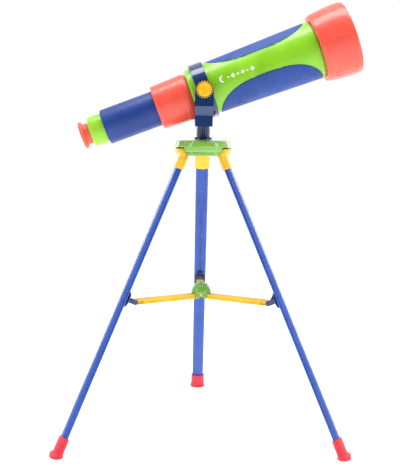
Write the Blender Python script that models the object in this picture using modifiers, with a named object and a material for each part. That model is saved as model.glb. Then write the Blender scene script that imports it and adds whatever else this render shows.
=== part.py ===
"""Toy telescope on a folding tripod, built as separate pieces in metres with +Z up.

The world origin is the middle of the bottom of the whole object's box. The pan axis is vertical and stands
at (PAN_X, PAN_Y). The optical tube lies in the XZ plane through that axis, with its objective toward +X.
"""

import math

import bmesh
import bpy

MM = 0.001
CLEARANCE = 0.3

# Where the pan axis stands in the world, and the heights of the stand.
PAN_X, PAN_Y = -7.725, -48.219
TILT_AXIS_HEIGHT = 432.5
TUBE_ELEVATION = 20.8
FOOT_CIRCLE_RADIUS = 197.0
HINGE_CIRCLE_RADIUS = 25.5
HINGE_HEIGHT = 357.5
OUTER_PIVOT_RADIUS = 96.0
INNER_PIVOT_RADIUS = 8.0
SPREADER_HEIGHT = 177.0
LEG_AZIMUTHS = {"back": 90.0, "left": 210.0, "right": 330.0}

# The optical tube, measured along its axis from the tilt axis, positive toward the objective.
BODY_REAR, BODY_FRONT, NOZZLE_FRONT = -15.9, 146.0, 166.0
BODY_RADIUS_AT_PIVOT, BODY_TAPER, BODY_WALL = 31.6, 0.027, 2.4
DRAW_TUBE_RADIUS, DRAW_TUBE_WALL = 21.75, 1.8
RING_RADIUS, RING_HALF_WIDTH = 35.0, 8.5
HOOD_REAR, HOOD_FRONT = 147.6, 192.0

# The two soft grip pads: middle and half length along the tube, half angle around it, outline exponent.
PAD_TOP = {"middle": 76.7, "half_length": 63.9, "half_angle": 50.0, "exponent": 2.7}
PAD_BOTTOM = {"middle": 77.7, "half_length": 65.7, "half_angle": 79.5, "exponent": 2.8}
PAD_DEPTH, PAD_PROUD, PAD_RECESS = 1.0, 0.1, 1.5

LIME = (0.34, 0.72, 0.03, 1)
BLUE = (0.03, 0.08, 0.42, 1)
LEG_BLUE = (0.03, 0.1, 0.6, 1)
CORAL = (1.0, 0.12, 0.1, 1)
NAVY = (0.005, 0.025, 0.13, 1)
YELLOW = (1.0, 0.62, 0.01, 1)
AMBER = (1.0, 0.5, 0.03, 1)
HUB_GREEN = (0.25, 0.62, 0.1, 1)
GLASS = (0.8, 0.9, 0.95, 1)
STEEL = (0.6, 0.6, 0.62, 1)
BLACK = (0.02, 0.02, 0.02, 1)

for old in list(bpy.data.objects):
    bpy.data.objects.remove(old, do_unlink=True)

parts_collection = bpy.data.collections.new("telescope_on_tripod")
cutters_collection = bpy.data.collections.new("cutters")
bpy.context.scene.collection.children.link(parts_collection)
bpy.context.scene.collection.children.link(cutters_collection)


def body_radius(along):
    """Outer radius of the main body at a distance along the tube."""
    return BODY_RADIUS_AT_PIVOT + BODY_TAPER * along


def frame(name, location, turn=(0, 0, 0), parent=None):
    """An empty that holds a group of pieces; location in mm, turn in degrees."""
    empty = bpy.data.objects.new(name, None)
    parts_collection.objects.link(empty)
    empty.location = [value * MM for value in location]
    empty.rotation_euler = [math.radians(angle) for angle in turn]
    empty.parent = parent
    return empty


def dress(piece, colour, roughness, metallic=0.0):
    """Give a piece a material of its own."""
    material = bpy.data.materials.new(piece.name + "_material")
    material.use_nodes = True
    shader = material.node_tree.nodes["Principled BSDF"]
    shader.inputs["Base Color"].default_value = colour
    shader.inputs["Roughness"].default_value = roughness
    shader.inputs["Metallic"].default_value = metallic
    piece.data.materials.clear()
    piece.data.materials.append(material)


def place(name, mesh, parent, location=(0, 0, 0), turn=(0, 0, 0), look=None):
    """Link a mesh as a named piece, or as a cutter when it has no look."""
    piece = bpy.data.objects.new(name, mesh)
    piece.location = [value * MM for value in location]
    piece.rotation_euler = [math.radians(angle) for angle in turn]
    piece.parent = parent
    if look is None:
        cutters_collection.objects.link(piece)
        piece.hide_render = True
        piece.display_type = "WIRE"
    else:
        parts_collection.objects.link(piece)
        dress(piece, *look)
        mesh.shade_smooth()
        mesh.set_sharp_from_angle(angle=math.radians(35))
    return piece


def turned(name, profile, parent, look=None, steps=40, location=(0, 0, 0), turn=(0, 0, 0)):
    """A piece of revolution about local Z; the profile lists (radius, height) in mm.

    A profile that starts and ends on the axis makes a solid, any other one makes a ring.
    """
    area = 0.0
    for (r0, z0), (r1, z1) in zip(profile, profile[1:] + profile[:1]):
        area += r0 * z1 - r1 * z0
    if area > 0:
        profile = profile[::-1]
    is_ring = min(radius for radius, height in profile) > 0
    mesh = bpy.data.meshes.new(name)
    vertices = [(radius * MM, 0.0, height * MM) for radius, height in profile]
    edges = [(i, i + 1) for i in range(len(profile) - 1)]
    if is_ring:
        edges.append((len(profile) - 1, 0))
    mesh.from_pydata(vertices, edges, [])
    piece = bpy.data.objects.new("lathe", mesh)
    parts_collection.objects.link(piece)
    screw = piece.modifiers.new("turn", "SCREW")
    screw.axis = "Z"
    screw.steps = steps
    screw.render_steps = steps
    screw.use_merge_vertices = True
    screw.merge_threshold = 0.00001
    solid = evaluated_mesh(piece, name)
    return place(name, solid, parent, location, turn, look)


def evaluated_mesh(piece, name):
    """The mesh that a scratch object makes, welded and with its faces outward; the object goes."""
    depsgraph = bpy.context.evaluated_depsgraph_get()
    mesh = bpy.data.meshes.new_from_object(piece.evaluated_get(depsgraph), depsgraph=depsgraph)
    mesh.name = name
    bpy.data.objects.remove(piece, do_unlink=True)
    work = bmesh.new()
    work.from_mesh(mesh)
    bmesh.ops.remove_doubles(work, verts=work.verts, dist=0.000005)
    bmesh.ops.recalc_face_normals(work, faces=work.faces)
    work.to_mesh(mesh)
    work.free()
    mesh.materials.clear()
    return mesh


def plate(name, outlines, half_thickness, parent, look=None, location=(0, 0, 0), turn=(0, 0, 0)):
    """A flat outline in local XY made thick along local Z; later outlines are holes."""
    curve = bpy.data.curves.new(name, "CURVE")
    curve.dimensions = "2D"
    curve.fill_mode = "BOTH"
    curve.extrude = half_thickness * MM
    for outline in outlines:
        spline = curve.splines.new("POLY")
        spline.points.add(len(outline) - 1)
        for point, (x, y) in zip(spline.points, outline):
            point.co = (x * MM, y * MM, 0.0, 1.0)
        spline.use_cyclic_u = True
    piece = bpy.data.objects.new("flat", curve)
    parts_collection.objects.link(piece)
    return place(name, evaluated_mesh(piece, name), parent, location, turn, look)


def combine(piece, cutters, operation="DIFFERENCE"):
    """Cut, join or trim a piece by other solids, and keep the result as its plain mesh."""
    bpy.context.view_layer.update()
    for cutter in cutters:
        step = piece.modifiers.new("combine", "BOOLEAN")
        step.operation = operation
        step.solver = "EXACT"
        step.object = cutter
    depsgraph = bpy.context.evaluated_depsgraph_get()
    mesh = bpy.data.meshes.new_from_object(piece.evaluated_get(depsgraph), depsgraph=depsgraph)
    piece.modifiers.clear()
    material = piece.data.materials[0] if piece.data.materials else None
    work = bmesh.new()
    work.from_mesh(mesh)
    bmesh.ops.remove_doubles(work, verts=work.verts, dist=0.000005)
    work.to_mesh(mesh)
    work.free()
    piece.data = mesh
    mesh.materials.clear()
    if material:
        mesh.materials.append(material)
    mesh.shade_smooth()
    mesh.set_sharp_from_angle(angle=math.radians(35))
    return piece


def rod(name, radius, length, parent, location, turn, look=None, steps=12):
    """A plain cylinder centred on its location, along its local Z."""
    half = length / 2
    profile = [(0, half), (radius, half), (radius, -half), (0, -half)]
    return turned(name, profile, parent, look, steps, location, turn)


def oval(width, depth, count=16):
    """An oval outline, width along X and depth along Y, with full round ends."""
    radius = depth / 2
    reach = width / 2 - radius
    points = []
    for end, start in ((1, -90), (-1, 90)):
        for i in range(count // 2 + 1):
            angle = math.radians(start + 180 * i / (count // 2))
            points.append((end * reach + radius * math.cos(angle), radius * math.sin(angle)))
    return points


def ellipse(width, depth, count=20):
    """An ellipse, width along X and depth along Y."""
    turns = [2 * math.pi * i / count for i in range(count)]
    return [(width / 2 * math.cos(turn), depth / 2 * math.sin(turn)) for turn in turns]


def rounded_bar(reach, radius, count=6):
    """An outline along X from the origin to reach, with a round end at each."""
    points = []
    for i in range(count + 1):
        angle = math.radians(-90 + 180 * i / count)
        points.append((reach + radius * math.cos(angle), radius * math.sin(angle)))
    for i in range(count + 1):
        angle = math.radians(90 + 180 * i / count)
        points.append((radius * math.cos(angle), radius * math.sin(angle)))
    return points


def pad_solid(name, pad, side, below, above, grow, parent, look=None):
    """A soft pad lying on the body; side is -1 for the top of the tube and 1 for its underside."""
    stations, across = 16, 10
    power = 2 / pad["exponent"]
    rows = []
    for i in range(stations + 1):
        from_end = min(i, stations - i) / (stations / 2)
        sweep = math.pi / 2 * from_end ** 1.6
        share = math.cos(sweep) ** power * (-1 if i < stations / 2 else 1)
        along = pad["middle"] + share * (pad["half_length"] + grow)
        width = math.sin(sweep) ** power
        half = math.radians(pad["half_angle"]) * width + grow / body_radius(along)
        outer, inner = [], []
        for j in range(across + 1):
            angle = half * (2 * j / across - 1)
            for ring, radius in ((outer, body_radius(along) + above), (inner, body_radius(along) - below)):
                x = side * radius * math.cos(angle)
                y = radius * math.sin(angle)
                ring.append((x * MM, y * MM, along * MM))
        rows.append((outer, inner))
    work = bmesh.new()
    grid = [[[work.verts.new(point) for point in line] for line in row] for row in rows]
    for i in range(stations):
        for layer in (0, 1):
            for j in range(across):
                a, b = grid[i][layer], grid[i + 1][layer]
                work.faces.new((a[j], a[j + 1], b[j + 1]))
                work.faces.new((a[j], b[j + 1], b[j]))
        for j in (0, across):
            work.faces.new((grid[i][0][j], grid[i + 1][0][j], grid[i + 1][1][j], grid[i][1][j]))
    for i in (0, stations):
        for j in range(across):
            work.faces.new((grid[i][0][j], grid[i][0][j + 1], grid[i][1][j + 1], grid[i][1][j]))
    bmesh.ops.remove_doubles(work, verts=work.verts, dist=0.000005)
    bmesh.ops.dissolve_degenerate(work, edges=work.edges, dist=0.000001)
    bmesh.ops.recalc_face_normals(work, faces=work.faces)
    mesh = bpy.data.meshes.new(name)
    work.to_mesh(mesh)
    work.free()
    return place(name, mesh, parent, look=look)


pan_axis = frame("pan_axis", (PAN_X, PAN_Y, 0))
tilt_axis = frame("tilt_axis", (0, 0, TILT_AXIS_HEIGHT), parent=pan_axis)
tube = frame("tube_axis", (0, 0, 0), (0, 90 - TUBE_ELEVATION, 0), tilt_axis)

# ---------------------------------------------------------------- eyepiece end
turned("eyecup", [
    (16.0, -160.0), (16.9, -159.2), (16.9, -157.0), (16.2, -156.2), (12.9, -155.6), (12.8, -148.9),
    (10.7, -148.9), (10.7, -157.0), (13.2, -160.0),
], tube, (CORAL, 0.55), 24)
turned("eyepiece_barrel", [
    (8.4, -156.6), (10.4, -156.6), (10.4, -148.6), (15.2, -148.6), (17.4, -147.6), (18.6, -145.2),
    (18.7, -129.4), (16.0, -129.4), (16.0, -119.0), (13.2, -119.0), (13.2, -146.0), (8.4, -146.0),
], tube, (LIME, 0.45), 24)


def lens(name, radius, rear, thickness, bulge, parent):
    """A double convex lens with a narrow cylindrical edge."""
    middle = rear + thickness / 2
    edge = thickness / 2 - bulge
    profile = [(0, middle + thickness / 2)]
    for i in range(1, 4):
        share = i / 3
        profile.append((radius * share, middle + edge + bulge * (1 - share ** 2)))
    for i in range(3, 0, -1):
        share = i / 3
        profile.append((radius * share, middle - edge - bulge * (1 - share ** 2)))
    profile.append((0, middle - thickness / 2))
    return turned(name, profile, parent, (GLASS, 0.03), 20)


lens("eye_lens", 12.8, -145.6, 5.0, 1.7, tube)
turned("lens_spacer", [
    (11.4, -140.1), (12.8, -140.1), (12.8, -131.2), (11.4, -131.2),
], tube, (BLACK, 0.7), 20)
lens("field_lens", 12.8, -130.9, 4.4, 1.4, tube)
turned("eyepiece_snap_ring", [
    (11.0, -126.0), (12.8, -126.0), (12.8, -124.4), (11.0, -124.4),
], tube, (BLACK, 0.6), 20)

draw_inner = DRAW_TUBE_RADIUS - DRAW_TUBE_WALL
turned("draw_tube", [
    (16.4, -129.1), (DRAW_TUBE_RADIUS - 0.4, -129.1), (DRAW_TUBE_RADIUS, -128.7), (DRAW_TUBE_RADIUS, 10.0),
    (draw_inner, 10.0), (draw_inner, -117.5), (16.4, -120.0),
], tube, (BLUE, 0.6), 28)
turned("draw_tube_stop", [
    (22.05, 1.0), (28.3, 1.0), (28.3, 7.0), (22.05, 7.0),
], tube, (BLACK, 0.8), 24)

# ---------------------------------------------------------------- main body
turned("rear_collar", [
    (22.1, -61.3), (26.2, -61.3), (27.0, -60.4), (28.6, -21.5), (28.2, -19.6), (26.8, -16.5),
    (24.4, -16.5), (24.4, -8.0), (22.1, -8.0),
], tube, (CORAL, 0.4), 28)

pad_recesses = [
    pad_solid("cut_pad_top", PAD_TOP, -1, PAD_RECESS, 3.0, CLEARANCE, tube),
    pad_solid("cut_pad_bottom", PAD_BOTTOM, 1, PAD_RECESS, 3.0, CLEARANCE, tube),
]
shell_profile = [
    (24.8, BODY_REAR), (29.4, BODY_REAR), (30.8, BODY_REAR + 0.8), (body_radius(-12.8), -12.8),
    (body_radius(BODY_FRONT), BODY_FRONT), (33.4, BODY_FRONT), (33.4, NOZZLE_FRONT), (31.6, NOZZLE_FRONT),
    (31.6, BODY_FRONT - 1), (body_radius(140) - BODY_WALL, 140.0), (body_radius(-13.4) - BODY_WALL, -13.4),
    (24.8, -13.4),
]
for side_name, side in (("near", 1), ("far", -1)):
    half_block = plate("cut_half_" + side_name, [
        [(-60, side * -0.15), (60, side * -0.15), (60, side * 60), (-60, side * 60)],
    ], 120, tube, location=(0, 0, 75))
    shell = turned("body_shell_" + side_name, shell_profile, tube, (LIME, 0.4), 36)
    combine(shell, [half_block] + pad_recesses)

pad_solid("grip_pad_top", PAD_TOP, -1, PAD_DEPTH, PAD_PROUD, 0, tube, (BLUE, 0.7))
pad_solid("grip_pad_bottom", PAD_BOTTOM, 1, PAD_DEPTH, PAD_PROUD, 0, tube, (BLUE, 0.7))
turned("baffle_disc", [
    (22.0, 112.0), (31.8, 112.0), (31.8, 113.5), (22.0, 113.5),
], tube, (BLACK, 0.9), 24)

# ---------------------------------------------------------------- objective end
turned("hood", [
    (33.7, HOOD_REAR), (40.4, HOOD_REAR), (41.4, HOOD_REAR + 1.0), (43.2, 161.0), (44.4, 173.0),
    (44.9, 187.0), (44.2, 190.8), (43.0, HOOD_FRONT), (41.9, 189.6), (32.4, 169.8), (32.4, 166.4),
    (33.7, 166.4),
], tube, (CORAL, 0.4), 36)
turned("lens_cell", [
    (26.6, 148.0), (31.3, 148.0), (31.3, 165.0), (29.3, 165.0), (29.3, 152.0), (26.6, 150.0),
], tube, (BLACK, 0.6), 24)
lens("objective_lens", 29.0, 152.5, 8.0, 3.0, tube)
turned("lens_retaining_ring", [
    (27.0, 161.0), (29.0, 161.0), (29.0, 164.4), (27.8, 164.4),
], tube, (BLACK, 0.5), 24)

# ---------------------------------------------------------------- clamp ring around the body
RING_BORE = 32.15
TRUNNION_RADIUS, TRUNNION_END = 8.0, 36.6
SCREW_HOLE, SCREW_SHAFT = 2.8, 2.4
ring_profile = [
    (RING_BORE, -RING_HALF_WIDTH), (RING_RADIUS - 0.7, -RING_HALF_WIDTH), (RING_RADIUS, -7.8),
    (RING_RADIUS, 7.8), (RING_RADIUS - 0.7, RING_HALF_WIDTH), (RING_BORE, RING_HALF_WIDTH),
]
ring_split = {"upper": (-60, -0.15), "lower": (0.15, 60)}
screw_holes = [
    rod("cut_trunnion_hole", SCREW_HOLE, 120, tube, (0, 0, 0), (90, 0, 0)),
    rod("cut_trunnion_room", RING_BORE, 60, tube, (0, 0, 0), (0, 0, 0), steps=36),
]
RING_SCREW_ANGLE = 62.0
ring_screw_turns = {"near": -(90 - RING_SCREW_ANGLE), "far": 90 - RING_SCREW_ANGLE}
ring_screw_cutters = []
for side_name, turn in ring_screw_turns.items():
    aim = frame("ring_screw_aim_" + side_name, (0, 0, 0), (0, 0, turn), tube)
    ring_screw_cutters.append(rod("cut_ring_screw_" + side_name, 2.9, 12, aim, (36, 0, 0), (0, 90, 0)))
    turned("ring_screw_" + side_name, [
        (0, 34.3), (1.7, 34.3), (2.6, 33.7), (2.6, 32.5), (0, 32.5),
    ], aim, (STEEL, 0.35, 1.0), 16, turn=(0, 90, 0))
for half_name, (low, high) in ring_split.items():
    keep = plate("cut_ring_" + half_name, [
        [(low, -60), (high, -60), (high, 60), (low, 60)],
    ], 30, tube)
    half = turned("clamp_ring_" + half_name, ring_profile, tube, (NAVY, 0.2), 36)
    if half_name == "lower":
        boss = rod("cut_trunnion", TRUNNION_RADIUS, 2 * TRUNNION_END, tube, (0, 0, 0), (90, 0, 0), steps=20)
        combine(half, [keep], "INTERSECT")
        combine(half, [boss], "UNION")
        combine(half, screw_holes + ring_screw_cutters)
    else:
        room = rod("cut_trunnion_clear", TRUNNION_RADIUS + CLEARANCE, 90, tube, (0, 0, 0), (90, 0, 0),
                   steps=20)
        combine(half, [keep], "INTERSECT")
        combine(half, [room])

# ---------------------------------------------------------------- yoke, knobs and pan post
ARM_OUTER, ARM_INNER = 44.0, 38.0
BASE_BOTTOM, BASE_HALF_DEPTH = -43.5, 33.0
yoke_outline = [
    (ARM_INNER, 14), (ARM_OUTER, 14), (ARM_OUTER, -19.5), (BASE_HALF_DEPTH, -30.5),
    (BASE_HALF_DEPTH, -42.5), (BASE_HALF_DEPTH - 1, BASE_BOTTOM),
]
mirrored = [(-across, height) for across, height in reversed(yoke_outline)]
saddle = []
for i in range(17):
    angle = math.radians(180 * i / 16)
    saddle.append((-ARM_INNER * math.cos(angle), -4 - 36.3 * math.sin(angle)))
yoke = plate("yoke", [yoke_outline + mirrored + saddle], 14, tilt_axis, (NAVY, 0.2), turn=(90, 0, 90))
arm_face = [(10.6, BASE_BOTTOM - 1), (10.7, -30.5), (11.3, -19.5), (10.9, -2)]
for i in range(13):
    angle = math.radians(180 * i / 12)
    arm_face.append((10.8 * math.cos(angle), 10.8 * math.sin(angle)))
arm_face += [(-10.9, -2), (-11.3, -19.5), (-10.7, -30.5), (-10.6, BASE_BOTTOM - 1)]
trim = plate("cut_yoke_face", [arm_face], 60, tilt_axis, turn=(90, 0, 0))
arm_hole = rod("cut_arm_hole", SCREW_HOLE, 120, tilt_axis, (0, 0, 0), (90, 0, 0))
edge_relief = [
    plate("cut_saddle_relief_" + end, [
        [(sign * 7.0, -39.6), (sign * 16.0, -44.0), (sign * 16.0, -30.0), (sign * 7.0, -30.0)],
    ], 14, tilt_axis, turn=(90, 0, 0))
    for end, sign in (("front", 1), ("rear", -1))
]
combine(yoke, [trim], "INTERSECT")
combine(yoke, [arm_hole] + edge_relief)

KNOB_RADIUS, KNOB_THICKNESS, KNOB_SCALLOPS = 10.2, 8.6, 20
knob_outline = []
for i in range(KNOB_SCALLOPS * 2):
    angle = math.pi * (i + 0.5) / KNOB_SCALLOPS
    radius = KNOB_RADIUS if i % 2 else KNOB_RADIUS - 1.1
    knob_outline.append((radius * math.cos(angle), radius * math.sin(angle)))
for side_name, side in (("near", -1), ("far", 1)):
    middle = side * (ARM_OUTER + CLEARANCE + KNOB_THICKNESS / 2)
    knob = plate("knob_" + side_name, [knob_outline], KNOB_THICKNESS / 2, tilt_axis,
                 (YELLOW, 0.35), (0, middle, 0), (side * -90, 0, 0))
    face = rod("cut_knob_disc_" + side_name, 6.6, 3.0, tilt_axis,
               (0, side * (ARM_OUTER + CLEARANCE + KNOB_THICKNESS), 0), (90, 0, 0), steps=20)
    bore = rod("cut_knob_bore_" + side_name, 2.7, 7.0, tilt_axis,
               (0, side * (ARM_OUTER + CLEARANCE + 2.4), 0), (90, 0, 0))
    combine(knob, [face], "UNION")
    combine(knob, [bore])
    rod("knob_screw_" + side_name, SCREW_SHAFT, 16.6, tilt_axis,
        (0, side * (33.0 + 8.3), 0), (90, 0, 0), (STEEL, 0.3, 1.0))
    turned("friction_washer_" + side_name, [
        (2.8, -0.35), (7.6, -0.35), (7.6, 0.35), (2.8, 0.35),
    ], tilt_axis, (BLACK, 0.8), 16, (0, side * 37.3, 0), (90, 0, 0))

post_screw_hole = 2.2
turned("pan_post", [
    (0, 388.7), (8.3, 388.7), (8.3, 376.0), (11.2, 375.8), (11.5, 375.2), (11.5, 373.0), (11.2, 372.7),
    (7.4, 372.7), (7.4, 358.2), (post_screw_hole, 358.2), (post_screw_hole, 366.0), (0, 366.0),
], pan_axis, (NAVY, 0.25), 20)
turned("pan_screw", [
    (0, 365.7), (1.9, 365.7), (1.9, 357.9), (9.0, 357.9), (9.0, 356.4), (4.0, 356.4), (3.6, 354.6),
    (0, 354.6),
], pan_axis, (STEEL, 0.3, 1.0), 16)

# ---------------------------------------------------------------- tripod head
HUB_TOP, HUB_SEAM, HUB_BOTTOM = 372.4, 357.5, 353.4
NOTCH_HALF_WIDTH, NOTCH_CEILING, NOTCH_INNER = 10.0, 363.6, 18.6
leg_angle = math.degrees(math.atan((FOOT_CIRCLE_RADIUS - HINGE_CIRCLE_RADIUS) / HINGE_HEIGHT))
hub_top = turned("hub_top", [
    (7.8, HUB_TOP), (28.0, HUB_TOP), (31.6, 371.4), (33.8, 369.0), (34.6, 365.6), (33.9, 361.2),
    (32.4, HUB_SEAM + 0.15), (9.6, HUB_SEAM + 0.15), (9.6, 360.2), (7.8, 360.2),
], pan_axis, (HUB_GREEN, 0.15), 32)
hub_bottom = turned("hub_bottom", [
    (9.6, HUB_SEAM - 0.15), (31.4, HUB_SEAM - 0.15), (30.6, HUB_BOTTOM), (9.6, HUB_BOTTOM),
], pan_axis, (HUB_GREEN, 0.15), 28)
PIN_RADIUS, PIN_HOLE = 1.3, 1.6
notches, pin_cuts = [], []
leg_frames = {}
for leg_name, azimuth in LEG_AZIMUTHS.items():
    spoke = frame("spoke_" + leg_name, (0, 0, 0), (0, 0, azimuth), pan_axis)
    notches.append(plate("cut_notch_" + leg_name, [
        [(NOTCH_INNER, -NOTCH_HALF_WIDTH), (44, -NOTCH_HALF_WIDTH),
         (44, NOTCH_HALF_WIDTH), (NOTCH_INNER, NOTCH_HALF_WIDTH)],
    ], 7.5, spoke, location=(0, 0, NOTCH_CEILING - 7.5)))
    pin_cuts.append(rod("cut_hinge_pin_" + leg_name, PIN_HOLE, 29.0, spoke,
                        (HINGE_CIRCLE_RADIUS, 0, HINGE_HEIGHT), (90, 0, 0), steps=12))
    hinge = frame("hinge_" + leg_name, (HINGE_CIRCLE_RADIUS, 0, HINGE_HEIGHT), (0, -leg_angle, 0), spoke)
    leg_frames[leg_name] = (spoke, hinge)
combine(hub_top, notches + pin_cuts)
combine(hub_bottom, notches + pin_cuts)

# ---------------------------------------------------------------- legs
SOCKET_WIDTH, SOCKET_DEPTH, SOCKET_END = 19.2, 10.2, -23.0
HEAD_WIDTH = 18.4
LEG_WIDTH, LEG_DEPTH, LEG_WALL = 16.0, 7.0, 1.4
LEG_TOP, LEG_END = -7.0, -389.0
FOOT_SLEEVE_TOP, FOOT_SLEEVE_LENGTH, SOLE_HEIGHT = 24.5, 19.0, 4.6
foot_drop = HINGE_HEIGHT / math.cos(math.radians(leg_angle))
lean = math.radians(leg_angle)
pivot_out = OUTER_PIVOT_RADIUS - HINGE_CIRCLE_RADIUS
pivot_down = HINGE_HEIGHT - SPREADER_HEIGHT
bracket_x = pivot_out * math.cos(lean) - pivot_down * math.sin(lean)
bracket_z = -pivot_out * math.sin(lean) - pivot_down * math.cos(lean)
ARM_RADIUS, ARM_HALF, ARM_WALL = 3.3, 4.8, 1.5
# Both ends of an arm lie between two cheeks. The outer end is a solid block with a groove in each side, and
# the two studs of its bracket slide in the grooves by up to STUD_TRAVEL while the legs fold.
CHEEK_RADIUS, CHEEK_THICKNESS = 3.2, 1.2
CHEEK_INNER = ARM_HALF + CLEARANCE
CHEEK_OUTER = CHEEK_INNER + CHEEK_THICKNESS
STUD_TRAVEL, GROOVE_HALF_HEIGHT, GROOVE_DEPTH = 9.0, 2.35, 1.3
STUD_RADIUS, STUD_REACH, STUD_SPIN = 1.3, 1.1, 7.0
PLATE_WIDTH, PLATE_HEIGHT, PLATE_THICKNESS = 12.6, 20.0, 1.8
OVERRUN = 9.0  # how far the spreader's cutters reach past what they cut
arm_length = OUTER_PIVOT_RADIUS - INNER_PIVOT_RADIUS
channel_start = CHEEK_RADIUS + 2.8
channel_end = arm_length - STUD_TRAVEL - CHEEK_RADIUS - 3.8

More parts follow.
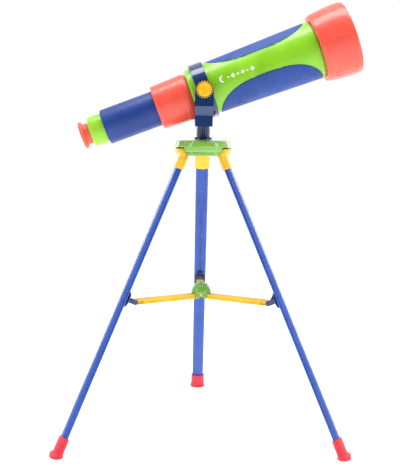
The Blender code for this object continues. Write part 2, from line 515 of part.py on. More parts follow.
for leg_name, (spoke, hinge) in leg_frames.items():
    socket_length = -SOCKET_END - 1.0
    socket = plate("leg_socket_" + leg_name, [ellipse(SOCKET_WIDTH, SOCKET_DEPTH)], socket_length / 2,
                   hinge, (AMBER, 0.4), (0, 0, SOCKET_END + socket_length / 2), (0, 0, 90))
    head = plate("cut_socket_head_" + leg_name, [
        [(-5.0, 1.0), (-5.0, -2.0), (-3.4, -4.0), (5.2, -3.6), (8.6, -1.8), (10.1, -0.8), (10.6, 0.6),
         (10.6, 3.0), (9.6, 4.6), (2.0, 4.6), (-2.0, 4.6), (-4.2, 3.2)],
    ], HEAD_WIDTH / 2, spoke, location=(HINGE_CIRCLE_RADIUS, 0, HINGE_HEIGHT), turn=(90, 0, 0))
    leg_room = plate("cut_leg_room_" + leg_name,
                     [ellipse(LEG_WIDTH + 2 * CLEARANCE, LEG_DEPTH + 2 * CLEARANCE)], 15.0,
                     hinge, location=(0, 0, LEG_TOP + CLEARANCE - 15.0), turn=(0, 0, 90))
    hinge_hole = rod("cut_socket_pin_" + leg_name, PIN_HOLE, 60, hinge, (0, 0, 0), (90, 0, 0), steps=12)
    combine(socket, [head], "UNION")
    combine(socket, [leg_room, hinge_hole])
    rod("hinge_pin_" + leg_name, PIN_RADIUS, 28.0, hinge, (0, 0, 0), (90, 0, 0), (STEEL, 0.3, 1.0), 12)
    leg_middle = (LEG_TOP + LEG_END) / 2
    plate("leg_tube_" + leg_name, [
        ellipse(LEG_WIDTH, LEG_DEPTH), ellipse(LEG_WIDTH - 2 * LEG_WALL, LEG_DEPTH - 2 * LEG_WALL, 14),
    ], (LEG_TOP - LEG_END) / 2, hinge, (LEG_BLUE, 0.3), (0, 0, leg_middle), (0, 0, 90))

    foot = plate("foot_" + leg_name, [ellipse(18.9, 10.9)], FOOT_SLEEVE_LENGTH / 2, hinge, (CORAL, 0.6),
                 (0, 0, -foot_drop + FOOT_SLEEVE_TOP - FOOT_SLEEVE_LENGTH / 2), (0, 0, 90))
    sole = plate("cut_foot_sole_" + leg_name, [ellipse(21.5, 16.0, 24)], SOLE_HEIGHT / 2, spoke,
                 location=(FOOT_CIRCLE_RADIUS, 0, SOLE_HEIGHT / 2), turn=(0, 0, 90))
    below = plate("cut_foot_floor_" + leg_name, [[(-40, -40), (40, -40), (40, 40), (-40, 40)]], 15.0,
                  spoke, location=(FOOT_CIRCLE_RADIUS, 0, -15.0))
    foot_room = plate("cut_foot_room_" + leg_name,
                      [ellipse(LEG_WIDTH + 2 * CLEARANCE, LEG_DEPTH + 2 * CLEARANCE)], 40.0,
                      hinge, location=(0, 0, LEG_END - CLEARANCE + 40.0), turn=(0, 0, 90))
    combine(foot, [sole], "UNION")
    combine(foot, [below, foot_room])

    inner_face = -LEG_DEPTH / 2 - CLEARANCE
    plate_middle = inner_face - PLATE_THICKNESS / 2
    cheek_reach = plate_middle - bracket_x
    bracket = plate("bracket_" + leg_name, [rounded_bar(cheek_reach - CHEEK_RADIUS, CHEEK_RADIUS)],
                    CHEEK_OUTER, hinge, (NAVY, 0.3), (bracket_x, 0, bracket_z), (90, 0, 0))
    bracket_plate = plate("cut_bracket_plate_" + leg_name, [oval(PLATE_HEIGHT, PLATE_WIDTH, 12)],
                          PLATE_THICKNESS / 2, hinge, location=(plate_middle, 0, bracket_z), turn=(0, 90, 0))
    between_end = cheek_reach - PLATE_THICKNESS / 2
    between = plate("cut_bracket_gap_" + leg_name, [
        [(-OVERRUN, -OVERRUN), (between_end, -OVERRUN), (between_end, OVERRUN), (-OVERRUN, OVERRUN)],
    ], CHEEK_INNER, hinge, location=(bracket_x, 0, bracket_z), turn=(90, 0, 0))
    # The gap is cut around the two studs, which stay standing on the cheeks' inner faces.
    stud_length = 2 * (STUD_REACH + CLEARANCE)
    studs = [
        rod("cut_bracket_stud_%s_%d" % (leg_name, i), STUD_RADIUS, stud_length, hinge,
            (bracket_x, side * CHEEK_INNER, bracket_z), (90, STUD_SPIN, 0))
        for i, side in enumerate((-1, 1))
    ]
    combine(between, studs)
    combine(bracket, [bracket_plate], "UNION")
    combine(bracket, [between])

    arm_place = {"location": (INNER_PIVOT_RADIUS, 0, SPREADER_HEIGHT), "turn": (90, 0, 0)}
    arm_outline = [(arm_length, ARM_RADIUS)]
    for i in range(9):
        turn = math.pi * (1 / 2 + i / 8)
        arm_outline.append((ARM_RADIUS * math.cos(turn), ARM_RADIUS * math.sin(turn)))
    arm_outline.append((arm_length, -ARM_RADIUS))
    arm = plate("spreader_arm_" + leg_name, [arm_outline], ARM_HALF, spoke, (AMBER, 0.4), **arm_place)
    channel = plate("cut_arm_channel_" + leg_name, [
        [(channel_start, -OVERRUN), (channel_end, -OVERRUN), (channel_end, ARM_RADIUS - ARM_WALL),
         (channel_start, ARM_RADIUS - ARM_WALL)],
    ], ARM_HALF - ARM_WALL, spoke, **arm_place)
    groove_outline = [(arm_length + OVERRUN, GROOVE_HALF_HEIGHT)]
    for i in range(9):
        turn = math.pi * i / 8
        groove_outline.append((arm_length - STUD_TRAVEL - GROOVE_HALF_HEIGHT * math.sin(turn),
                               GROOVE_HALF_HEIGHT * math.cos(turn)))
    groove_outline.append((arm_length + OVERRUN, -GROOVE_HALF_HEIGHT))
    grooves = [
        plate("cut_arm_groove_%s_%d" % (leg_name, i), [groove_outline], GROOVE_DEPTH, spoke,
              location=(INNER_PIVOT_RADIUS, side * ARM_HALF, SPREADER_HEIGHT), turn=(90, 0, 0))
        for i, side in enumerate((-1, 1))
    ]
    inner_hole = rod("cut_arm_pin_" + leg_name, PIN_HOLE, 40, spoke,
                     (INNER_PIVOT_RADIUS, 0, SPREADER_HEIGHT), (90, 0, 0), steps=12)
    combine(arm, [channel, inner_hole] + grooves)
    rod("inner_pin_" + leg_name, PIN_RADIUS, 2 * CHEEK_OUTER, spoke,
        (INNER_PIVOT_RADIUS, 0, SPREADER_HEIGHT), (90, 0, 0), (STEEL, 0.3, 1.0), 12)

# ---------------------------------------------------------------- spreader hub
DOME_BASE = SPREADER_HEIGHT + ARM_RADIUS + 0.5
spreader = turned("spreader_hub", [
    (0, DOME_BASE + 13.2), (5.0, DOME_BASE + 12.6), (9.2, DOME_BASE + 10.2), (12.0, DOME_BASE + 6.2),
    (13.0, DOME_BASE + 1.0), (13.0, DOME_BASE), (0, DOME_BASE),
], pan_axis, (HUB_GREEN, 0.15), 20)
cheeks, cheek_cuts = [], []
cheek_top = DOME_BASE + 2 - SPREADER_HEIGHT
for leg_name, (spoke, hinge) in leg_frames.items():
    cheek_outline = [(CHEEK_RADIUS, cheek_top), (-CHEEK_RADIUS, cheek_top)]
    for i in range(9):
        turn = math.pi * (1 + i / 8)
        cheek_outline.append((CHEEK_RADIUS * math.cos(turn), CHEEK_RADIUS * math.sin(turn)))
    for side_name, side in (("near", -1), ("far", 1)):
        across = side * (CHEEK_INNER + CHEEK_THICKNESS / 2)
        cheek = plate("cut_cheek_%s_%s" % (leg_name, side_name), [cheek_outline], CHEEK_THICKNESS / 2, spoke,
                      location=(INNER_PIVOT_RADIUS, across, SPREADER_HEIGHT), turn=(90, 0, 0))
        cheeks.append(cheek)
    cheek_cuts.append(rod("cut_cheek_pin_" + leg_name, PIN_HOLE, 2 * CHEEK_OUTER + 2, spoke, turn=(90, 0, 0),
                          location=(INNER_PIVOT_RADIUS, 0, SPREADER_HEIGHT), steps=12))
combine(spreader, cheeks, "UNION")
combine(spreader, cheek_cuts)
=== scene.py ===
"""Looks of the toy telescope on its folding tripod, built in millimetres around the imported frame."""

import math

import bmesh
import bpy
import numpy as np
from mathutils import Matrix, Vector


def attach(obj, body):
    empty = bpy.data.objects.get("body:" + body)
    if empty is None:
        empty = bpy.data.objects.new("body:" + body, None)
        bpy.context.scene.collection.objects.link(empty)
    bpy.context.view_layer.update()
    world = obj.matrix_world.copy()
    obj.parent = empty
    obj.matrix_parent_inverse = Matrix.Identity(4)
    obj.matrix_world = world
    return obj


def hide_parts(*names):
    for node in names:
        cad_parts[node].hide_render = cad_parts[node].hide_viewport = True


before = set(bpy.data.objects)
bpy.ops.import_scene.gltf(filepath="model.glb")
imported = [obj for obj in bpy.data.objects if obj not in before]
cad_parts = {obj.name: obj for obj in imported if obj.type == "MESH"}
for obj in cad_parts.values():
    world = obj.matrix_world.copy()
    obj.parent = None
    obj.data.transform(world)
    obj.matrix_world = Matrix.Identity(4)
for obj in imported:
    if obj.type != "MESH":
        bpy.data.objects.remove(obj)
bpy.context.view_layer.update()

# ------------------------------------------------------------------ main body shells
# Two lime half tubes, injection moulded and screwed together along the top and the underside. Their wall
# drops into a tray under each soft pad, and a narrow raised lip runs round the tray.

PAN_X, PAN_Y, TILT_HEIGHT, ELEVATION = -7.725, -48.219, 432.5, 20.8
to_metres = Matrix.Scale(0.001, 4)
pan_frame = to_metres @ Matrix.Translation((PAN_X, PAN_Y, 0))
tilt_frame = pan_frame @ Matrix.Translation((0, 0, TILT_HEIGHT))
tube_frame = tilt_frame @ Matrix.Rotation(math.radians(90 - ELEVATION), 4, "Y")


class Signal:
    """A shader value that is written as arithmetic; node() makes any other kind of node."""

    def __init__(self, tree, socket=None):
        self.tree = tree
        self.socket = socket

    def node(self, kind, settings=None, inputs=None, output=0):
        made = self.tree.nodes.new(kind)
        for key, value in (settings or {}).items():
            setattr(made, key, value)
        for key, value in (inputs or {}).items():
            if isinstance(value, Signal):
                self.tree.links.new(value.socket, made.inputs[key])
            else:
                made.inputs[key].default_value = value
        return Signal(self.tree, made.outputs[output])

    def maths(self, operation, first, second=0.0):
        return self.node("ShaderNodeMath", {"operation": operation}, {0: first, 1: second})

    def __add__(self, other):
        return self.maths("ADD", self, other)

    def __sub__(self, other):
        return self.maths("SUBTRACT", self, other)

    def __rsub__(self, other):
        return self.maths("SUBTRACT", other, self)

    def __mul__(self, other):
        return self.maths("MULTIPLY", self, other)

    def __truediv__(self, other):
        return self.maths("DIVIDE", self, other)

    def __pow__(self, other):
        return self.maths("POWER", self, other)

    __radd__ = __add__
    __rmul__ = __mul__

    def step(self, low, high):
        """0 below low and 1 above high, smooth between them; the other way round if high is below low."""
        flipped = high < low
        ends = {"From Min": min(low, high), "From Max": max(low, high)}
        ends["To Min"] = 1.0 if flipped else 0.0
        ends["To Max"] = 0.0 if flipped else 1.0
        settings = {"interpolation_type": "SMOOTHSTEP"}
        return self.node("ShaderNodeMapRange", settings, {"Value": self, **ends})

    def noise(self, coordinates, scale, detail=2.0, roughness=0.5, stretch=None):
        if stretch:
            coordinates = self.node(
                "ShaderNodeVectorMath", {"operation": "MULTIPLY"}, {0: coordinates, 1: stretch}
            )
        inputs = {"Vector": coordinates, "Scale": scale, "Detail": detail, "Roughness": roughness}
        return self.node("ShaderNodeTexNoise", {"noise_dimensions": "3D"}, inputs)

    def blend(self, factor, first, second, kind="MIX"):
        """Mixes two colours."""
        made = self.tree.nodes.new("ShaderNodeMix")
        made.data_type = "RGBA"
        made.blend_type = kind
        for index, value in ((0, factor), (6, first), (7, second)):
            if isinstance(value, Signal):
                self.tree.links.new(value.socket, made.inputs[index])
            elif index == 0:
                made.inputs[index].default_value = value
            else:
                made.inputs[index].default_value = (*value[:3], 1.0)
        return Signal(self.tree, made.outputs[2])

    def into(self, shader, name):
        self.tree.links.new(self.socket, shader.inputs[name])


def linear(red, green, blue):
    """A colour given as 0-255 screen values, as the linear light that shaders work in."""
    channels = []
    for value in (red, green, blue):
        channels.append(((value / 255 + 0.055) / 1.055) ** 2.4 if value > 10 else value / 3294)
    return tuple(channels)


def plastic(name, colour, roughness, coat=0.0, grain=0.012, grain_scale=2.2, drift=0.06, ripple=0.02,
            scuff=0.12, source="own", scale=1.0):
    """A moulded plastic: slow colour drift, handled and scuffed gloss, mould grain and shrink ripple.

    Returns the material, its shader, the start of its shader arithmetic, its coordinates and its colour.
    """
    material = bpy.data.materials.new(name)
    material.use_nodes = True
    tree = material.node_tree
    shader = tree.nodes["Principled BSDF"]
    start = Signal(tree)
    if source == "own":
        place = start.node("ShaderNodeAttribute", {"attribute_name": "own"}, output="Vector")
    else:
        metres = start.node("ShaderNodeTexCoord", output="Object")
        place = start.node("ShaderNodeVectorMath", {"operation": "SCALE"}, {0: metres, "Scale": 1000.0})
    cloud = start.noise(place, 0.035 * scale, 3.0)
    specks = start.noise(place, 0.9 * scale, 2.0)
    darker = tuple(channel * (1 - 1.6 * drift) for channel in colour)
    lighter = tuple(min(1.0, channel * (1 + drift) + drift * 0.08) for channel in colour)
    tone = start.blend(cloud.step(0.3, 0.7), darker, lighter)
    tone = start.blend(specks.step(0.62, 0.8) * (drift * 1.5), tone, lighter)
    tone.into(shader, "Base Color")
    hands = start.noise(place, 0.09 * scale, 4.0, 0.6).step(0.42, 0.66)
    scratches = start.noise(place, 1.0 * scale, 3.0, 0.6, (0.25, 2.6, 0.25)).step(0.6, 0.75)
    (roughness + hands * scuff * 0.6 + scratches * scuff * 0.5).into(shader, "Roughness")
    height = start.noise(place, grain_scale * scale, 2.0) * grain
    height = height + start.noise(place, 0.12 * scale, 1.0) * ripple * 4
    relief = {"Strength": 1.0, "Distance": 0.001, "Height": height}
    bump = start.node("ShaderNodeBump", None, relief, "Normal")
    bump.into(shader, "Normal")
    shader.inputs["Coat Weight"].default_value = coat
    shader.inputs["Coat Roughness"].default_value = 0.06
    shader.inputs["IOR"].default_value = 1.5
    return material, shader, start, place, tone


def soften(points, segments=5):
    """A polyline of (a, b, fillet) with each corner rounded by its fillet."""
    rounded = []
    count = len(points)
    for i, (a, b, fillet) in enumerate(points):
        if fillet <= 0:
            rounded.append((a, b))
            continue
        here = Vector((a, b))
        before = Vector(points[i - 1][:2]) - here
        after = Vector(points[(i + 1) % count][:2]) - here
        corner = before.angle(after)
        reach = min(fillet / math.tan(corner / 2), before.length * 0.49, after.length * 0.49)
        first, last = here + before.normalized() * reach, here + after.normalized() * reach
        for j in range(segments + 1):
            t = j / segments
            rounded.append(tuple(first * (1 - t) ** 2 + here * 2 * t * (1 - t) + last * t * t))
    return rounded


def skin(rings, loop_rings=False, loop_around=True, caps=True):
    """A mesh through rings of points; each ring is closed on itself when loop_around is set."""
    rings = np.asarray(rings, float)
    rows, columns = rings.shape[:2]
    faces = []
    for i in range(rows if loop_rings else rows - 1):
        below, above = i * columns, (i + 1) % rows * columns
        for j in range(columns if loop_around else columns - 1):
            k = (j + 1) % columns
            faces.append((below + j, below + k, above + k, above + j))
    if caps and not loop_rings:
        faces.append(tuple(range(columns))[::-1])
        faces.append(tuple((rows - 1) * columns + j for j in range(columns)))
    if caps and not loop_around:
        faces.append(tuple(i * columns for i in range(rows)))
        faces.append(tuple(i * columns + columns - 1 for i in range(rows))[::-1])
    mesh = bpy.data.meshes.new("skin")
    mesh.from_pydata([tuple(point) for point in rings.reshape(-1, 3)], [], faces)
    return mesh


def lathe(profile, steps=96, start=0.0, sweep=360.0):
    """A closed profile of (radius, height) turned about Z; a partial sweep is capped at both ends."""
    whole = abs(sweep - 360) < 1e-6
    count = steps if whole else steps + 1
    rings = []
    for i in range(count):
        angle = math.radians(start + sweep * i / steps)
        rings.append([(r * math.cos(angle), r * math.sin(angle), z) for r, z in profile])
    mesh = skin(rings, loop_rings=whole, loop_around=True, caps=not whole)
    return mesh


def add_piece(name, mesh, place, material, body, nodes, sharp=38.0):
    """Puts a mesh made in millimetres where it belongs and hands it to the frame."""
    work = bmesh.new()
    work.from_mesh(mesh)
    bmesh.ops.remove_doubles(work, verts=work.verts, dist=0.0005)
    bmesh.ops.dissolve_degenerate(work, edges=work.edges, dist=0.0001)
    bmesh.ops.recalc_face_normals(work, faces=work.faces)
    work.to_mesh(mesh)
    work.free()
    own = mesh.attributes.get("own") or mesh.attributes.new("own", "FLOAT_VECTOR", "POINT")
    places = np.empty(len(mesh.vertices) * 3, np.float32)
    mesh.vertices.foreach_get("co", places)
    own.data.foreach_set("vector", places)
    mesh.transform(place)
    mesh.shade_smooth()
    mesh.set_sharp_from_angle(angle=math.radians(sharp))
    mesh.materials.clear()
    mesh.materials.append(material)
    mesh.name = name
    piece = bpy.data.objects.new(name, mesh)
    bpy.context.scene.collection.objects.link(piece)
    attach(piece, body)
    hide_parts(*nodes)
    return piece


BODY_REAR, BODY_FRONT, NOZZLE_FRONT = -15.9, 146.0, 166.0
TRAY_DEPTH, LIP_HEIGHT, LIP_OFFSET, LIP_WIDTH = 1.45, 0.3, 0.75, 0.55
pads = {
    "top": {"side": -1, "middle": 76.7, "reach": 63.9, "spread": 50.0, "power": 2.7},
    "bottom": {"side": 1, "middle": 77.7, "reach": 65.7, "spread": 79.5, "power": 2.8},
}


def body_radius(along):
    return 31.6 + 0.027 * along


def pad_distance(pad, along, angle):
    """Millimetres outside a pad's outline, negative inside it; the angle is from the pad's middle line."""
    spread = math.radians(pad["spread"])
    u = abs(along - pad["middle"]) / pad["reach"] + 1e-6
    v = abs(angle) / spread + 1e-6
    power = pad["power"]
    level = (u ** power + v ** power) ** (1 / power)
    slope_u = (u / level) ** (power - 1) / pad["reach"]
    slope_v = (v / level) ** (power - 1) / (spread * body_radius(along))
    return (level - 1) / math.hypot(slope_u, slope_v)


def shell_height(along, angle):
    """How far the shell's outside stands off the plain cone, at an angle from the top of the tube."""
    height = 0.0
    for pad in pads.values():
        from_middle = angle if pad["side"] < 0 else math.pi - angle
        distance = pad_distance(pad, along, from_middle)
        fall = min(1.0, max(0.0, (0.25 - distance) / 0.6))
        height -= TRAY_DEPTH * fall * fall * (3 - 2 * fall)
        height += LIP_HEIGHT * math.exp(-((distance - LIP_OFFSET) / LIP_WIDTH) ** 2)
    return height


outside = [(BODY_REAR, 29.6), (BODY_REAR + 0.25, 30.3), (BODY_REAR + 0.8, 30.9), (BODY_REAR + 1.8, 31.15)]
for i in range(201):
    along = BODY_REAR + 2.6 + (BODY_FRONT - 0.8 - BODY_REAR - 2.6) * i / 200
    outside.append((along, body_radius(along)))
outside += [(BODY_FRONT - 0.3, 35.3), (BODY_FRONT, 34.8), (BODY_FRONT, 33.4)]
outside += [(NOZZLE_FRONT - 0.4, 33.4), (NOZZLE_FRONT, 33.0)]
inside = [(NOZZLE_FRONT, 31.6), (BODY_FRONT - 1, 31.6), (140.0, body_radius(140) - 2.4),
          (-13.4, body_radius(-13.4) - 2.4), (-13.4, 24.8), (BODY_REAR, 24.8)]

LIME = linear(140, 210, 32)
STAR_INK = linear(244, 246, 240)
SEAM_GAP = 0.06
PRINT_MIDDLE, PRINT_EDGE = -4.5, 0.12
MOON_ALONG, MOON_RADIUS, MOON_BITE, MOON_SHIFT = 25.0, 4.1, 3.6, 2.2
PRINT_DOTS = ((32.2, 1.1), (44.5, 1.3), (56.4, 1.1))
PRINT_STARS = ((38.2, 4.2), (50.6, 3.5), (62.8, 4.2))


def night_sky(start, place):
    """White print in a row along the tube: a crescent moon, then stars with dots between them."""
    height = start.node("ShaderNodeSeparateXYZ", None, {"Vector": place}, "X") - PRINT_MIDDLE
    along = start.node("ShaderNodeSeparateXYZ", None, {"Vector": place}, "Z")

    def disc(middle, radius):
        distance = ((along - middle) ** 2.0 + height * height) ** 0.5
        return distance.step(radius + PRINT_EDGE, radius - PRINT_EDGE)

    ink = disc(MOON_ALONG, MOON_RADIUS) * (1 - disc(MOON_ALONG + MOON_SHIFT, MOON_BITE))
    for middle, radius in PRINT_DOTS:
        ink = ink + disc(middle, radius)
    for middle, reach in PRINT_STARS:
        aside = start.maths("ABSOLUTE", along - middle) ** 0.6
        above = start.maths("ABSOLUTE", height) ** 0.6
        ink = ink + (aside + above).step(reach ** 0.6 + PRINT_EDGE, reach ** 0.6 - PRINT_EDGE)
    return ink


for side_name, side in (("near", -1), ("far", 1)):
    rings = []
    columns = 132
    for j in range(columns + 1):
        angle = math.pi * j / columns
        ring = []
        for along, radius in outside:
            if BODY_REAR + 2 < along < BODY_FRONT - 1:
                radius += shell_height(along, angle)
            seam = 0.25 if j in (0, columns) else 0.0
            across, height = (radius - seam) * math.sin(angle), (radius - seam) * math.cos(angle)
            ring.append((-height, side * (across + SEAM_GAP), along))
        for along, radius in inside:
            ring.append((-radius * math.cos(angle), side * (radius * math.sin(angle) + SEAM_GAP), along))
        rings.append(ring)
    shell_mesh = skin(rings)
    material, shader, start, place, tone = plastic("lime_shell_" + side_name, LIME, 0.3, coat=0.25)
    if side_name == "near":
        start.blend(night_sky(start, place), tone, STAR_INK).into(shader, "Base Color")
    add_piece("shell_" + side_name, shell_mesh, tube_frame, material, "tube",
              ["body_shell_" + side_name])

# ------------------------------------------------------------------ soft grip pads
# Blue soft-touch pads laid into the trays on the top and the underside of the body. Fine spark-eroded
# texture, edges rounded where they meet the lip, and a short row of small ribs under the lower one's rear.

PAD_BLUE = linear(20, 66, 150)
PIP_COUNT, PIP_START, PIP_PITCH, PIP_RADIUS, PIP_ANGLE = 5, 28.0, 3.6, 0.75, 26.0
PIP_STRETCH, PAD_DEPTH = 3.0, 1.0


def joined(*meshes):
    """One mesh holding all the given ones."""
    work = bmesh.new()
    for mesh in meshes:
        work.from_mesh(mesh)
    whole = bpy.data.meshes.new("joined")
    work.to_mesh(whole)
    work.free()
    return whole


def moved(mesh, place):
    mesh.transform(place)
    return mesh


for pad_name, pad in pads.items():
    spokes, ring_shares = 160, []
    for i in range(30):
        ring_shares.append(math.sin(math.pi / 2 * i / 29))
    top_rings, low_rings = [], []
    for share in ring_shares:
        top_ring, low_ring = [], []
        for j in range(spokes):
            turn = 2 * math.pi * j / spokes
            power = 2 / pad["power"]
            u = math.copysign(abs(math.cos(turn)) ** power, math.cos(turn)) * share
            v = math.copysign(abs(math.sin(turn)) ** power, math.sin(turn)) * share
            along = pad["middle"] + u * pad["reach"]
            angle = math.radians(pad["spread"]) * v
            inward = -pad_distance(pad, along, angle)
            edge = min(1.0, max(0.0, inward / 0.9))
            height = 0.1 - 0.95 * (1 - math.sqrt(1 - (1 - edge) ** 2))
            surface = body_radius(along)
            for ring, radius in ((top_ring, surface + height), (low_ring, surface - PAD_DEPTH)):
                ring.append((pad["side"] * radius * math.cos(angle), radius * math.sin(angle), along))
        top_rings.append(top_ring)
        low_rings.append(low_ring)
    pad_mesh = skin(top_rings + low_rings[::-1], caps=False)
    if pad_name == "bottom":
        grips = []
        for i in range(PIP_COUNT):
            along = PIP_START + PIP_PITCH * i
            pip = lathe([(0.01, -PAD_DEPTH), (PIP_RADIUS, -PAD_DEPTH), (PIP_RADIUS, 0.35),
                         (PIP_RADIUS * 0.6, 0.7), (0.01, 0.8)], 12)
            pip.transform(Matrix.Scale(PIP_STRETCH, 4, (0, 1, 0)))
            lift = Matrix.Translation((0, 0, body_radius(along)))
            turn = Matrix.Rotation(math.radians(-PIP_ANGLE), 4, "Z")
            turn = turn @ Matrix.Rotation(math.radians(90), 4, "Y")
            grips.append(moved(pip, Matrix.Translation((0, 0, along)) @ turn @ lift))
        pad_mesh = joined(pad_mesh, *grips)
    material, shader, *_ = plastic(
        "soft_pad_" + pad_name, PAD_BLUE, 0.56, grain=0.05, grain_scale=1.6, scuff=0.2, ripple=0.01)
    shader.inputs["Sheen Weight"].default_value = 0.04
    add_piece("pad_" + pad_name, pad_mesh, tube_frame, material, "tube",
              ["grip_pad_" + pad_name])

# ------------------------------------------------------------------ rear collar
# Coral guide for the draw tube, one smooth turned moulding with a fine rim line at its wide front shoulder.

CORAL = linear(255, 88, 70)
collar_profile = soften([
    (22.1, -61.3, 0.3), (26.2, -61.3, 1.0), (27.0, -59.8, 0.5), (28.25, -27.2, 0.2), (28.6, -26.8, 0.2),
    (28.6, -21.0, 1.4), (26.6, -16.4, 0.5), (24.4, -16.4, 0.2), (24.4, -8.0, 0.3), (22.1, -8.0, 0.3),
])
material, *_ = plastic("coral_collar", CORAL, 0.32, coat=0.2)
add_piece("collar", lathe(collar_profile), tube_frame, material, "tube", ["rear_collar"])

# ------------------------------------------------------------------ draw tube
# Blue sliding tube with a satin outside; its rear end is turned in to hold the eyepiece.

DRAW_BLUE = linear(16, 60, 142)
draw_profile = soften([
    (16.4, -129.1, 0.2), (21.75, -129.1, 0.7), (21.75, 10.0, 0.4), (19.95, 10.0, 0.3), (19.95, -117.5, 0.5),
    (16.4, -120.0, 0.3),
])
material, *_ = plastic("blue_draw_tube", DRAW_BLUE, 0.42, grain=0.02, scuff=0.16)
add_piece("drawtube", lathe(draw_profile), tube_frame, material, "draw", ["draw_tube"])

# ------------------------------------------------------------------ eyepiece barrel
# Lime holder of the eyepiece lenses, pushed into the draw tube, with a spigot at the rear for the eyecup.

barrel_profile = soften([
    (8.4, -156.6, 0.3), (10.4, -156.6, 0.4), (10.4, -148.6, 0.2), (15.0, -148.6, 1.2), (18.75, -147.0, 3.0),
    (18.75, -129.4, 0.5), (16.0, -129.4, 0.2), (16.0, -119.0, 0.4), (13.2, -119.0, 0.3), (13.2, -146.0, 0.3),
    (8.4, -146.0, 0.3),
])
BARREL_LIME = linear(158, 222, 52)
material, *_ = plastic("lime_barrel", BARREL_LIME, 0.3, coat=0.2)
add_piece("barrel", lathe(barrel_profile), tube_frame, material, "draw", ["eyepiece_barrel"])

# ------------------------------------------------------------------ eyecup
# Soft coral rubber cup stretched over the spigot, dished toward the eye, with a thin rolled flange.

eyecup_profile = soften([
    (13.6, -160.0, 0.4), (16.6, -160.0, 1.0), (16.9, -157.6, 1.0), (15.6, -156.2, 0.5), (12.8, -155.4, 0.6),
    (12.8, -148.9, 0.5), (10.6, -148.9, 0.2), (10.6, -157.0, 0.5),
])
CUP_CORAL = linear(250, 98, 80)
material, *_ = plastic("coral_eyecup", CUP_CORAL, 0.45, grain=0.02)
add_piece("eyecup_rubber", lathe(eyecup_profile), tube_frame, material, "draw", ["eyecup"])

# ------------------------------------------------------------------ flared hood
# Coral focusing hood: a stout turned moulding, slightly convex, with six raised slot outlines round it for
# the fingers and a rounded front rim.

hood_outline = [
    (147.6, 40.6, 0.9), (150.0, 41.6, 0.0), (153.0, 42.15, 0.0), (157.0, 42.75, 0.0), (161.0, 43.25, 0.0),
    (165.0, 43.7, 0.0), (169.0, 44.05, 0.0), (173.0, 44.35, 0.0), (178.0, 44.65, 0.0), (183.0, 44.7, 0.0),
    (188.4, 44.45, 0.0), (192.0, 43.4, 2.4),
]
hood_profile = [(33.7, 147.6, 0.4)] + [(radius, along, fillet) for along, radius, fillet in hood_outline]
hood_profile += [(41.9, 191.9, 1.0), (32.4, 169.8, 0.6), (32.4, 166.4, 0.3), (33.7, 166.4, 0.2)]


def hood_radius(along):
    return float(np.interp(along, [row[0] for row in hood_outline], [row[1] for row in hood_outline]))


SLOT_COUNT, SLOT_MIDDLE, SLOT_HALF_LENGTH, SLOT_HALF_WIDTH, SLOT_BEAD = 6, 170.5, 14.5, 5.0, 0.55
slot_path = []
for i in range(64):
    turn = 2 * math.pi * i / 64
    straight = SLOT_HALF_LENGTH - SLOT_HALF_WIDTH
    along = SLOT_MIDDLE + math.copysign(straight, math.cos(turn)) + SLOT_HALF_WIDTH * math.cos(turn)
    angle = SLOT_HALF_WIDTH * math.sin(turn) / hood_radius(along)
    radius = hood_radius(along) - 0.15
    slot_path.append((radius * math.sin(angle), -radius * math.cos(angle), along))


def node_group(name):
    """An empty geometry tree with a geometry input and output."""
    tree = bpy.data.node_groups.new(name, "GeometryNodeTree")
    tree.interface.new_socket("Geometry", in_out="INPUT", socket_type="NodeSocketGeometry")
    tree.interface.new_socket("Geometry", in_out="OUTPUT", socket_type="NodeSocketGeometry")
    return tree


def grow(mesh, tree, values):
    """Runs a geometry tree over a mesh with its named inputs set and returns the plain mesh it makes."""
    holder = bpy.data.objects.new("holder", mesh)
    bpy.context.scene.collection.objects.link(holder)
    modifier = holder.modifiers.new("grow", "NODES")
    modifier.node_group = tree
    for item in tree.interface.items_tree:
        if item.in_out == "INPUT" and item.name in values:
            modifier[item.identifier] = values[item.name]
    depsgraph = bpy.context.evaluated_depsgraph_get()
    made = bpy.data.meshes.new_from_object(holder.evaluated_get(depsgraph), depsgraph=depsgraph)
    bpy.data.objects.remove(holder, do_unlink=True)
    return made


